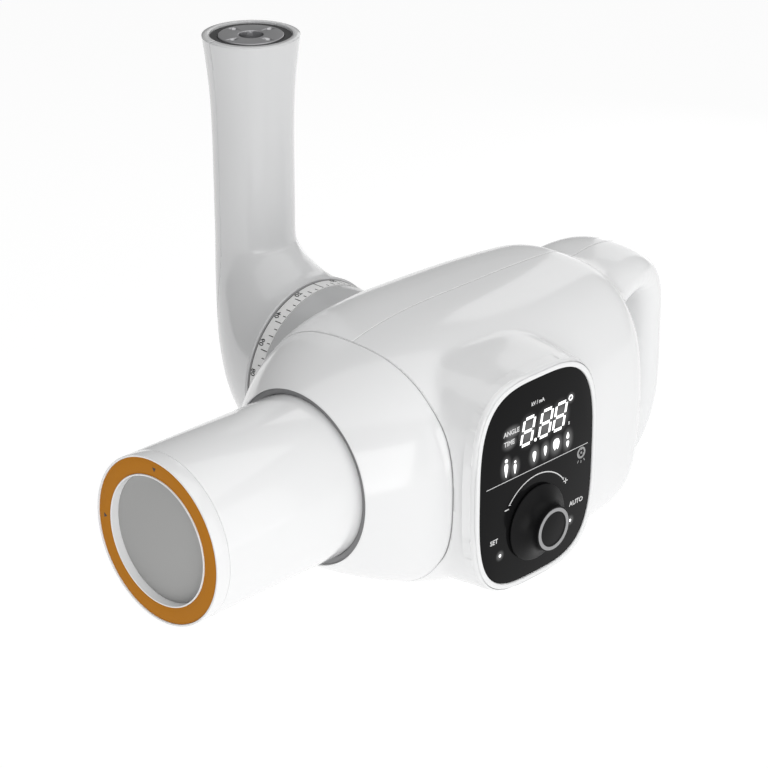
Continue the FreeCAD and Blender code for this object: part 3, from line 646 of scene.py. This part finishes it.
# The skin is relaxed a little on the body, fully from mid-body back to the loop, more round the
# boss's root, and hardly at all beside the panel.
body_share, boss_share, panel_share = 0.2, 0.6, 0.08
loop_from, loop_blend = 45, 25
boss_from, panel_from = 50, 67
soften = hull.vertex_groups.new(name="soften")
for vert in hull.data.vertices:
    behind = (vert.co.y / mm - loop_from) / loop_blend
    share = body_share + (1 - body_share) * min(max(behind, 0.0), 1.0)
    out = (vert.co.x - beam_x) / mm
    if out > boss_from:
        share = boss_share if out < panel_from else panel_share
    soften.add([vert.index], share, "REPLACE")
relax = hull.modifiers.new("relax", "SMOOTH")
relax.factor = 0.5
relax.iterations = 84
relax.vertex_group = "soften"
settle(hull)
cut_away(hull, finished(panel_plate(panel_face - 5, panel_face + 4, -0.1), "pocket"))
cut_away(hull, finished(disc(neck_radius + 0.15, 40, 90, 0, 0, "left"), "neck_way"))

halves = (("body_shell_right", "housing_right", 1), ("body_shell_left", "housing_left", -1))
for name, node, side in halves:
    half = bmesh.new()
    half.from_mesh(hull.data)
    sliced(half, at(0.5 * side * seam_gap, 0, 0), (side, 0, 0))
    sliced(half, at(0, -nose_seam + 0.5 * seam_gap, 0), (0, 1, 0))
    shell = finished(half, name)
    thickened(shell, shell_wall)
    dressed(shell, shell_gloss, "head", "white_shell", node)

lip_edge = 0.35
nose_blend_start = 8
nose_blend = 6


def nose_run(turn, run):
    """The nose from its seam to the slightly rounded edge of its lip."""
    start = -nose_seam - 0.5 * seam_gap
    straight = 0.9
    if run < straight:
        return body_point(turn, start + (-lip_front + lip_edge - start) * run / straight)
    bend = 0.5 * math.pi * (run - straight) / (1 - straight)
    spot = body_point(turn, -lip_front + lip_edge * (1 - math.sin(bend)))
    pulled = 1 - lip_edge * (1 - math.cos(bend)) / lip_radius
    return Vector((axis.x + (spot.x - axis.x) * pulled, spot.y, axis.z + (spot.z - axis.z) * pulled))


nose_skin = wrapped(nose_run, 192, 60, closed=False)
body_skin = BVHTree.FromObject(hull, bpy.context.evaluated_depsgraph_get())
for vert in nose_skin.verts:
    share = min(max((vert.co.y / mm + nose_seam + nose_blend_start) / nose_blend, 0.0), 1.0)
    heart = Vector((axis.x, vert.co.y, axis.z))
    met = body_skin.ray_cast(heart, (vert.co - heart).normalized())[0] if share > 0 else None
    if met is not None:
        vert.co = vert.co.lerp(met, share)
nose_shell = finished(nose_skin, "nose_moulding")
thickened(nose_shell, shell_wall)
cut_away(nose_shell, finished(disc(lip_radius - 0.5, 78, 100, 0, 0, "forward"), "mouth"))
dressed(nose_shell, shell_gloss, "head", "white_shell", "nose_shell")

# Behind the seam the nose carries a tongue that the two halves slip over, in the seal's grey as
# painted shade in the seam's gap. It stops short of the panel, so the seam shows as a fine line and
# nothing behind it does.
tongue_reach = 2.2
tongue_side = 65
tongue_drop = 0.3
tongue_wall = 1.2
tongue_skin = bmesh.new()
tongue_skin.from_mesh(hull.data)
sliced(tongue_skin, at(0, -nose_seam - tongue_reach, 0), (0, 1, 0))
sliced(tongue_skin, at(0, -nose_seam + tongue_reach, 0), (0, -1, 0))
sliced(tongue_skin, at(tongue_side, 0, 0), (-1, 0, 0))
bmesh.ops.recalc_face_normals(tongue_skin, faces=tongue_skin.faces)
for vert in tongue_skin.verts:
    vert.normal_update()
for vert in tongue_skin.verts:
    vert.co -= vert.normal * tongue_drop * mm
nose_tongue = finished(tongue_skin, "nose_tongue")
thickened(nose_tongue, tongue_wall)
# The tongue takes the seal's grey: painted shade inside the seam's gap.
dressed(nose_tongue, seal_grey_and_seam_shade, "head", "white_shell")
bpy.data.objects.remove(hull)

# The beam cone: a white tube that plugs into the nose, with a ring glued on its tip that frames an
# orange aperture ring and, deeper in, the round grey window that the beam leaves through.
socket_low, socket_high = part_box("cone_socket")
window_low, window_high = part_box("cone_window")
end_low, end_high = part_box("cone_end_ring")
cone_radius = 0.5 * (cone_high.x - cone_low.x) / mm
cone_tip = -end_low.y / mm
cone_root = -cone_high.y / mm
end_seam = -end_high.y / mm
window_radius = 0.5 * (window_high.x - window_low.x) / mm + 0.05
window_front = -window_low.y / mm
window_back = -window_high.y / mm
socket_front = -socket_low.y / mm
socket_back = -socket_high.y / mm
cone_bore = cone_radius - 2.7
annulus_inner = 30.75
annulus_outer = 38.5
annulus_depth = 1.4
cone_gloss = finish_coat("cone_gloss", (0.82, 0.823, 0.826), 0.16, coat=0.5, uneven=0.01)
aperture_paint = finish_coat("aperture_paint", (0.47, 0.178, 0.009), 0.6, specular=0.12, uneven=0.05,
                             relief=0.06)
window_film = finish_coat("window_film", (0.40, 0.40, 0.395), 0.62, specular=0.2, uneven=0.03,
                          relief=0.08, grain=2600.0)
socket_grey = finish_coat("socket_grey", (0.23, 0.23, 0.235), 0.5, uneven=0.08)

tube = finished(turned([
    (cone_bore, cone_root), (cone_radius, cone_root), (cone_radius, end_seam - 0.06),
    (cone_bore, end_seam - 0.06),
], axis, "forward", edge=0.22), "cone_barrel")
dressed(tube, cone_gloss, "head", "cone_white", "cone_tube")
tip_ring = finished(turned([
    (window_radius - 1.5, end_seam + 0.06), (cone_radius, end_seam + 0.06), (cone_radius, cone_tip),
    (annulus_outer, cone_tip), (annulus_outer, cone_tip - annulus_depth),
    (annulus_inner, cone_tip - annulus_depth), (annulus_inner, cone_tip),
    (window_radius, cone_tip), (window_radius, window_back), (window_radius - 1.5, window_back),
], axis, "forward", edge=0.25), "cone_tip_ring")
dressed(tip_ring, cone_gloss, "head", "cone_white", "cone_end_ring")
aperture = finished(turned([
    (annulus_inner + 0.05, cone_tip - annulus_depth), (annulus_outer - 0.05, cone_tip - annulus_depth),
    (annulus_outer - 0.05, cone_tip - 0.5), (annulus_inner + 0.05, cone_tip - 0.5),
], axis, "forward", edge=0.12), "aperture_band")
dressed(aperture, aperture_paint, "head", "orange_ring", "aperture_ring")
beam_window = finished(turned([
    (0, window_back), (window_radius - 0.05, window_back), (window_radius - 0.05, window_front),
    (0, window_front),
], axis, "forward", edge=0.2), "beam_window")
dressed(beam_window, window_film, "head", "grey_window", "cone_window")
collet = finished(turned([
    (33, socket_back), (lip_radius - 0.6, socket_back), (lip_radius - 0.6, socket_front),
    (cone_radius + 0.1, socket_front), (cone_radius + 0.1, cone_root), (33, cone_root),
], axis, "forward", edge=0.2), "cone_collet")
dressed(collet, socket_grey, "head", "dark_ring", "cone_socket")

# Two small printed arrow marks on the aperture ring show the beam's cross lines, one at the top
# and one at the side.
arrow_reach = 1.25
arrow_thick = 0.1
arrows = []
for quarter in (0, 1):
    arrow = bmesh.new()
    bmesh.ops.create_cone(arrow, cap_ends=True, segments=3, radius1=arrow_reach * mm,
                          radius2=arrow_reach * mm, depth=arrow_thick * mm)
    bmesh.ops.rotate(arrow, verts=arrow.verts, cent=(0, 0, 0), matrix=Matrix.Rotation(math.pi, 3, "Z"))
    radius = 0.5 * (annulus_inner + annulus_outer)
    bmesh.ops.translate(arrow, verts=arrow.verts, vec=(0, radius * mm, (cone_tip - 0.46) * mm))
    bmesh.ops.rotate(arrow, verts=arrow.verts, cent=(0, 0, 0),
                     matrix=Matrix.Rotation(quarter * math.pi / 2, 3, "Z"))
    bmesh.ops.transform(arrow, verts=arrow.verts, matrix=Matrix.Translation(axis)
                        @ turnings["forward"])
    arrows.append(arrow)
arrow_marks = finished(merged(arrows), "beam_arrows")
dressed(arrow_marks, scale_ink, "head", "dark_ring")

# The control panel: a slim white frame pressed into the boss, and one sheet of black glass whose
# lit parts shine through from behind with a soft halo.
glass_low, glass_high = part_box("panel_glass")
bezel_back = (bezel_low.x - beam_x) / mm
glass_front = (glass_high.x - beam_x) / mm
glass_back = (glass_low.x - beam_x) / mm
bezel_middle = -1.5
bezel_half = 1.25
glass_offset = -2.8


def bezel_run(turn, run):
    """The frame's section, a rectangle with soft corners, carried round the panel's outline."""
    half_deep = 0.5 * (bezel_front - bezel_back)
    across, up = oval(run, bezel_half, half_deep, half_deep, 5.0, 5.0)
    y, z = outline(turn, bezel_middle + across)
    return at(bezel_back + half_deep + up, y, z)


rim = finished(wrapped(bezel_run, 240, 32, closed=False), "panel_rim", crease=60.0)
dressed(rim, shell_gloss, "head", "white_shell", "panel_bezel")

# centre across and up from the panel's middle, then how far the halo reaches each way
halos = [
    (-6.9, 25, 8.5, 10.5), (5.2, 25, 8.5, 10.5), (14.9, 25, 8.5, 10.5), (-17.6, 28, 8, 4.5),
    (-19.1, 23, 6.5, 4.5), (-21.1, 11.3, 5, 8), (-15.1, 9.8, 4.5, 6.5), (-2.1, 11, 5, 7),
    (5.4, 11, 4.5, 6.5), (12.9, 11, 6.5, 7), (20.9, 11, 5, 8), (22.1, 31.7, 3.6, 3.6),
    (-24.1, -32, 3.4, 3.4), (24.4, -32, 3.4, 3.4),
]
panel_black = finish_coat("panel_black", (0.0075, 0.0075, 0.0078), 0.12, specular=0.06, uneven=0.1,
                          relief=0.01)
nodes, links = panel_black.node_tree.nodes, panel_black.node_tree.links
here = nodes.new("ShaderNodeTexCoord")
total = None
for across, up, reach_across, reach_up in halos:
    away = nodes.new("ShaderNodeVectorMath")
    away.operation = "SUBTRACT"
    away.inputs[1].default_value = at(glass_front, panel_y + across, up)
    links.new(here.outputs["Object"], away.inputs[0])
    shrunk = nodes.new("ShaderNodeVectorMath")
    shrunk.operation = "MULTIPLY"
    shrunk.inputs[1].default_value = (0.0, 1 / (reach_across * mm), 1 / (reach_up * mm))
    links.new(away.outputs["Vector"], shrunk.inputs[0])
    length = nodes.new("ShaderNodeVectorMath")
    length.operation = "LENGTH"
    links.new(shrunk.outputs["Vector"], length.inputs[0])
    fade = nodes.new("ShaderNodeMapRange")
    fade.interpolation_type = "SMOOTHERSTEP"
    fade.inputs["From Min"].default_value = 1.0
    fade.inputs["From Max"].default_value = 0.15
    links.new(length.outputs["Value"], fade.inputs["Value"])
    glow = fade.outputs["Result"]
    if total is not None:
        added = nodes.new("ShaderNodeMath")
        added.operation = "MAXIMUM"
        links.new(total, added.inputs[0])
        links.new(glow, added.inputs[1])
        glow = added.outputs["Value"]
    total = glow
glass_shader = nodes["Principled BSDF"]
links.new(total, glass_shader.inputs["Emission Color"])
glass_shader.inputs["Emission Strength"].default_value = 0.14

plate = panel_plate(glass_back, glass_front, glass_offset)
front_edges = [edge for edge in plate.edges
               if all(vert.co.x > beam_x + (glass_front - 0.01) * mm for vert in edge.verts)
               and edge.calc_face_angle(0.0) > 1.0]
bmesh.ops.bevel(plate, geom=front_edges, offset=0.25 * mm, offset_type="OFFSET", segments=3,
                profile=0.5, affect="EDGES", clamp_overlap=True, material=-1)
glass = finished(plate, "panel_pane")
dressed(glass, panel_black, "head", "black_glass", "panel_glass")

# The lit figures: three slanted seven-bar digits with a point and a degree ring, two patient
# figures and four teeth that choose the exposure. They are thin solids on the glass.
print_deep = 0.06
lit_white = finish_coat("lit_white", (0.9, 0.9, 0.9), 0.5, uneven=0.01)
lit_shader = lit_white.node_tree.nodes["Principled BSDF"]
lit_shader.inputs["Emission Color"].default_value = (1.0, 1.0, 1.0, 1.0)
lit_shader.inputs["Emission Strength"].default_value = 0.9
glowing_panel_ink = finish_coat("glowing_panel_ink", (0.62, 0.62, 0.62), 0.5, uneven=0.03)
ink_shader = glowing_panel_ink.node_tree.nodes["Principled BSDF"]
# The ink glows faintly of its own: painted light, as the print is no lamp.
ink_shader.inputs["Emission Color"].default_value = (1.0, 1.0, 1.0, 1.0)
ink_shader.inputs["Emission Strength"].default_value = 0.08
digit_wide = 7.0
digit_tall = 12.6
digit_slant = 0.2
bar_wide = 1.4
bar_gap = 0.2


def round_shape(reach, around=40):
    """A thin flat solid whose edge is at reach(angle), a point (x, y), all round."""
    piece = bmesh.new()
    bmesh.ops.create_cone(piece, cap_ends=True, segments=around, radius1=1.0, radius2=1.0,
                          depth=print_deep)
    for vert in piece.verts:
        x, y = reach(math.atan2(vert.co.y, vert.co.x))
        vert.co.x, vert.co.y = x, y
    return piece


def moved(piece, x, y, turn=0.0):
    """The same drawing, turned and then set down at (x, y)."""
    bmesh.ops.rotate(piece, verts=piece.verts, cent=(0, 0, 0), matrix=Matrix.Rotation(turn, 3, "Z"))
    bmesh.ops.translate(piece, verts=piece.verts, vec=(x, y, 0))
    return piece


def bar(long, wide):
    """One bar of a digit, with pointed ends, lying along x."""
    half = 0.5 * long

    def reach(angle):
        if abs(math.sin(angle)) < 0.1:
            return math.copysign(half, math.cos(angle)), 0.0
        return math.copysign(half - 0.5 * wide, math.cos(angle)), math.copysign(0.5 * wide,
                                                                                math.sin(angle))
    return round_shape(reach, around=6)


def digit(x, y):
    """An eight made of all seven bars, leaning to the right."""
    flat = digit_wide - bar_gap
    tall = 0.5 * digit_tall - bar_gap
    bars = [moved(bar(flat - bar_gap, bar_wide), 0, step * 0.5 * digit_tall) for step in (-1, 0, 1)]
    for side in (-1, 1):
        for step in (-1, 1):
            bars.append(moved(bar(tall, bar_wide), side * 0.5 * digit_wide,
                              step * 0.25 * digit_tall, math.pi / 2))
    whole = merged(bars)
    for vert in whole.verts:
        vert.co.x += vert.co.y * digit_slant
    return moved(whole, x, y)


def tooth(wide, tall, cleft):
    """A tooth: a rounded crown with a dip in its top, tapering to one root or two."""
    def reach(angle):
        across, up = math.cos(angle), math.sin(angle)
        x = 0.5 * wide * across * (0.66 + 0.34 * up)
        y = 0.5 * tall * up
        if up > 0.6:
            y -= 0.05 * tall * (1 - abs(across) / 0.8)
        if cleft:
            x = 0.5 * wide * across * (0.85 + 0.15 * up)
            y += cleft * tall * max(1 - abs(across) / 0.5, 0) * max(-up, 0)
        return x, y
    return round_shape(reach, around=56)


def ring(inner, outer):
    """A thin flat ring, turned and then brought back to drawing units."""
    half = 0.5 * print_deep
    piece = turned([(inner, -half), (outer, -half), (outer, half), (inner, half)],
                   Vector((0, 0, 0)), "up", steps=48)
    bmesh.ops.scale(piece, verts=piece.verts, vec=(1 / mm, 1 / mm, 1 / mm))
    return piece


def dot(radius):
    """A thin round spot."""
    return round_shape(lambda angle: (radius * math.cos(angle), radius * math.sin(angle)), 28)


def person(tall):
    """A standing figure: a head over a body that is wide at the shoulders and narrow at the feet."""
    head = moved(dot(0.1 * tall), 0, 0.38 * tall)

    def reach(angle):
        across, up = math.cos(angle), math.sin(angle)
        wide = 0.17 * tall * (0.62 + 0.38 * up)
        return wide * math.copysign(abs(across) ** 0.6, across), 0.36 * tall * up - 0.14 * tall
    return merged([head, round_shape(reach, 40)])


def on_panel(piece):
    """Stands a flat drawing on the glass: x becomes the way across, y the way up."""
    for vert in piece.verts:
        vert.co = at(glass_front + 0.5 * print_deep + vert.co.z, panel_y + vert.co.x, vert.co.y)
    bmesh.ops.recalc_face_normals(piece, faces=piece.faces)
    return piece


lit = [digit(-6.9, 25), digit(5.2, 25), digit(14.9, 25), moved(dot(0.85), -1.7, 18.9),
       moved(ring(0.85, 1.45), 22.1, 31.9), moved(person(9.4), -21.1, 11.3),
       moved(person(6.8), -15.1, 9.9), moved(tooth(3.2, 5.6, 0), -2.1, 10.6),
       moved(tooth(2.8, 5.2, 0), 5.4, 10.9), moved(tooth(5.0, 6.4, 0.3), 12.9, 11.4),
       moved(tooth(2.6, 3.4, 0), 20.9, 8.9, 0), moved(tooth(2.6, 3.4, 0), 20.9, 13.2, math.pi),
       moved(dot(0.75), -24.1, -32), moved(dot(0.75), 24.4, -32)]
lit_marks = finished(on_panel(merged(lit)), "lit_figures")
dressed(lit_marks, lit_white, "head", "display_white")

# The panel's print in pale ink with a faint painted glow: what the figures stand for, the line that
# parts display from knob, the knob's arrowed arc with its minus and plus, and the two indicator lamps'
# names.
arc_radius = 23.6
arc_half = math.radians(51)
arc_centre = (0.2, -23.0)


def arc_bar(radius, half, wide, steps=64):
    """A thin arched line, its middle at the top."""
    piece = bmesh.new()
    bmesh.ops.create_grid(piece, x_segments=steps, y_segments=1, size=0.5)
    made = bmesh.ops.extrude_face_region(piece, geom=piece.faces[:])["geom"]
    bmesh.ops.translate(piece, verts=[item for item in made if isinstance(item, bmesh.types.BMVert)],
                        vec=(0, 0, print_deep))
    for vert in piece.verts:
        angle = 2 * half * vert.co.x
        out = radius + wide * vert.co.y
        vert.co = Vector((out * math.sin(angle), out * math.cos(angle), vert.co.z - 0.5 * print_deep))
    return piece


def arrow_head(angle, turn):
    """A small arrow head at one end of the arc."""
    point = round_shape(lambda way: (0.95 * math.cos(way), 0.8 * math.sin(way)), 3)
    return moved(point, arc_centre[0] + arc_radius * math.sin(angle),
                 arc_centre[1] + arc_radius * math.cos(angle), turn)


def printed_bar(low_x, high_x, low_y, high_y):
    """A thin printed line."""
    piece = bmesh.new()
    drawn_bar(piece, low_x, high_x, low_y, high_y, -0.5 * print_deep, 0.5 * print_deep)
    return piece


words = [("kV / mA", 2.6, -0.6, 37.4), ("ANGLE", 3.3, -18.0, 28.0), ("TIME", 3.3, -19.4, 23.1),
         ("s", 3.0, 21.4, 19.6), ("SET", 3.3, -28.3, -23.7), ("AUTO", 3.4, 28.3, -23.5)]
inked = [lettering(text, size, x, y, bold=0.07, deep=print_deep) for text, size, x, y in words]
inked.append(printed_bar(-34.0, 35.3, 4.35, 4.65))
inked.append(moved(arc_bar(arc_radius, arc_half, 0.5), *arc_centre))
inked.append(arrow_head(arc_half, -arc_half))
inked.append(arrow_head(-arc_half, math.pi + arc_half))
inked.append(printed_bar(-21.5, -18.7, -10.45, -9.9))
inked.append(printed_bar(18.9, 21.7, -10.1, -9.55))
inked.append(printed_bar(20.03, 20.57, -11.2, -8.4))
printed = finished(on_panel(merged(inked)), "panel_print")
dressed(printed, glowing_panel_ink, "head", "display_white")

# The exposure sign is printed on the glass in a dimmer grey: a round source with a spoked face
# over three rays.
dim_ink = finish_coat("dim_ink", (0.30, 0.30, 0.30), 0.5, uneven=0.05)
sign_x, sign_y = 30.9, 0.9
spokes = [(90 + 120 * spoke, 1.6, 1.3, 0.9) for spoke in range(3)]
rays = [(-90 + 28 * ray, 4.6, 1.9, 0.45) for ray in (-1, 0, 1)]
sign = [moved(ring(1.9, 2.9), sign_x, sign_y), moved(dot(0.6), sign_x, sign_y)]
for degrees, reach, long, wide in spokes + rays:
    lean = math.radians(degrees)
    sign.append(moved(bar(long, wide), sign_x + reach * math.cos(lean),
                      sign_y + reach * math.sin(lean), lean))
exposure_sign = finished(on_panel(merged(sign)), "exposure_sign")
dressed(exposure_sign, dim_ink, "head", "display_white")

# The setting knob: one black moulding that flares out to the glass, with a satin metal ring let
# into its top. It turns without end and presses in a little on its plunger.
knob_low, knob_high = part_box("knob")
ring_low, ring_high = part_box("knob_ring")
knob_y = 0.5 * (knob_low.y + knob_high.y) / mm
knob_z = (0.5 * (knob_low.z + knob_high.z) - beam_z) / mm
knob_base = (knob_low.x - beam_x) / mm
knob_top = (knob_high.x - beam_x) / mm
base_radius = 0.5 * (knob_high.y - knob_low.y) / mm
top_radius = 11.0
skirt = 0.7
ring_outer = 0.5 * (ring_high.y - ring_low.y) / mm
ring_inner = ring_outer - 1.84
knob_axis = at(0, knob_y, knob_z)
knob_black = finish_coat("knob_black", (0.0062, 0.0062, 0.0065), 0.34, specular=0.1, uneven=0.15,
                         relief=0.03)
ring_satin = finish_coat("ring_satin", (0.36, 0.36, 0.365), 0.36, metal=1.0, uneven=0.04, relief=0.08)
flare = []
for step in range(15):
    rise = step / 14
    flare.append((top_radius + (base_radius - top_radius) * (1 - rise) ** 3,
                  knob_base + skirt + (knob_top - knob_base - skirt) * rise))
knob_body = finished(turned([
    (0, knob_base), (base_radius, knob_base), *flare, (ring_outer + 0.03, knob_top),
    (ring_outer + 0.03, knob_top - 1), (ring_inner - 0.03, knob_top - 1),
    (ring_inner - 0.03, knob_top - 0.3), (0, knob_top - 0.3),
], knob_axis, "right", edge=0.18), "knob_moulding", crease=50.0)
dressed(knob_body, knob_black, "knob", "black_knob", "knob")
knob_trim = finished(turned([
    (ring_inner, knob_top - 1), (ring_outer, knob_top - 1), (ring_outer, (ring_high.x - beam_x) / mm),
    (ring_inner, (ring_high.x - beam_x) / mm),
], knob_axis, "right", edge=0.2), "knob_trim")
dressed(knob_trim, ring_satin, "knob", "ring_metal", "knob_ring")

# What is inside, or hidden behind a cover, stays as it was drawn and gets its own real finish:
# bright steel, bearing bronze, cast alloy, lead, copper, glass, boards and rubber.
inner_finishes = {
    "white_shell": shell_gloss, "cone_white": cone_gloss, "arm_white": arm_shaded_white,
    "scale_print": band_satin, "dark_ring": socket_grey, "orange_ring": aperture_paint,
    "grey_window": window_film, "black_glass": panel_black, "black_knob": knob_black,
    "ring_metal": ring_satin, "display_white": lit_white,
    "steel": turned_steel,
    "bronze": finish_coat("bearing_bronze", (0.50, 0.33, 0.15), 0.34, metal=1.0, uneven=0.08),
    "cast_alloy": finish_coat("cast_alloy", (0.52, 0.53, 0.54), 0.5, metal=1.0, uneven=0.06,
                              grain=600.0, relief=0.2),
    "lead_grey": finish_coat("lead_sheet", (0.16, 0.17, 0.19), 0.6, metal=0.8, uneven=0.12,
                             relief=0.15),
    "copper": finish_coat("wound_copper", (0.62, 0.29, 0.14), 0.35, metal=1.0, uneven=0.1),
    "glass_clear": finish_coat("tube_glass", (0.80, 0.86, 0.86), 0.05, uneven=0.02, relief=0.0),
    "board_green": finish_coat("board_green", (0.03, 0.16, 0.07), 0.45, uneven=0.15),
    "seal_black": finish_coat("seal_rubber", (0.03, 0.03, 0.031), 0.6, uneven=0.15, relief=0.1),
}
inner_finishes["glass_clear"].node_tree.nodes["Principled BSDF"].inputs[
    "Transmission Weight"].default_value = 0.9
for part in frame["record"]["subparts"]:
    inner = frame["nodes"][part["node"]]
    if not inner.material_slots:
        inner.data.materials.append(None)
    for place in inner.material_slots:
        place.material = inner_finishes[part["material_slot"]]
